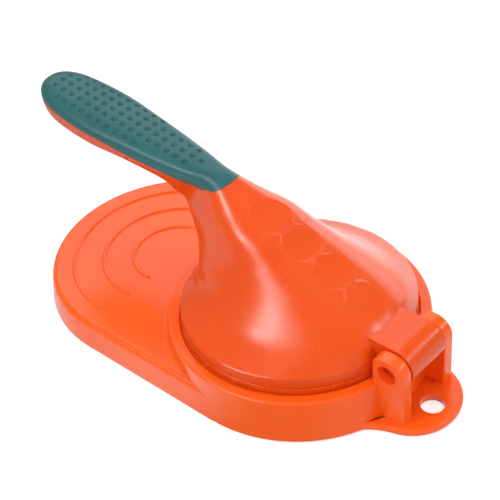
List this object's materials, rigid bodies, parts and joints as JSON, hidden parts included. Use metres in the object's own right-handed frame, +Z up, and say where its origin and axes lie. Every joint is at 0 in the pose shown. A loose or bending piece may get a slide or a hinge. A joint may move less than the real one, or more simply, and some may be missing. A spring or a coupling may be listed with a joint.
{
  "type": "empanada press",
  "caption": "Hand press for filled dough rounds: stadium base with a round well and hanging tab, and a bell-shaped lid with a long handle and soft grip that swings on a pin.",
  "frame": {"origin": "on the surface the press stands on, below the middle of its bounding box", "axes": "+X from the handle's tip to the hinge along the press, +Z up; the press is symmetric about y = 0"},
  "size_m": [0.2068, 0.11, 0.0829],
  "materials": {
    "orange_base": "glossy moulded polypropylene, coral orange",
    "orange_lid": "glossy moulded polypropylene, coral orange",
    "orange_cover": "glossy moulded polypropylene, coral orange",
    "orange_disc": "smooth moulded polypropylene, coral orange",
    "pin_plastic": "moulded acetal, deep orange",
    "grip_rubber": "over-moulded soft elastomer, grey teal, with rows of small round dimples",
    "foot_rubber": "moulded rubber, dark grey",
    "screw_steel": "zinc-plated steel"
  },
  "bodies": {
    "root": {"base": "orange_base", "foot_front_left": "foot_rubber", "foot_front_right": "foot_rubber", "foot_rear_left": "foot_rubber", "foot_rear_right": "foot_rubber", "hinge_pin": "pin_plastic"},
    "lid": {"press_plate": "orange_lid", "press_disc": "orange_disc", "plate_screws": "screw_steel", "lid_shell": "orange_lid", "handle_cover": "orange_cover", "cover_screws": "screw_steel", "grip": "grip_rubber"}
  },
  "joints": [
    {"name": "lid_hinge", "type": "hinge", "parent": "root", "child": "lid", "pos_m": [0.0835, 0, 0.0267], "axis": [0, 1, 0], "range_deg": [0, 110]}
  ]
}
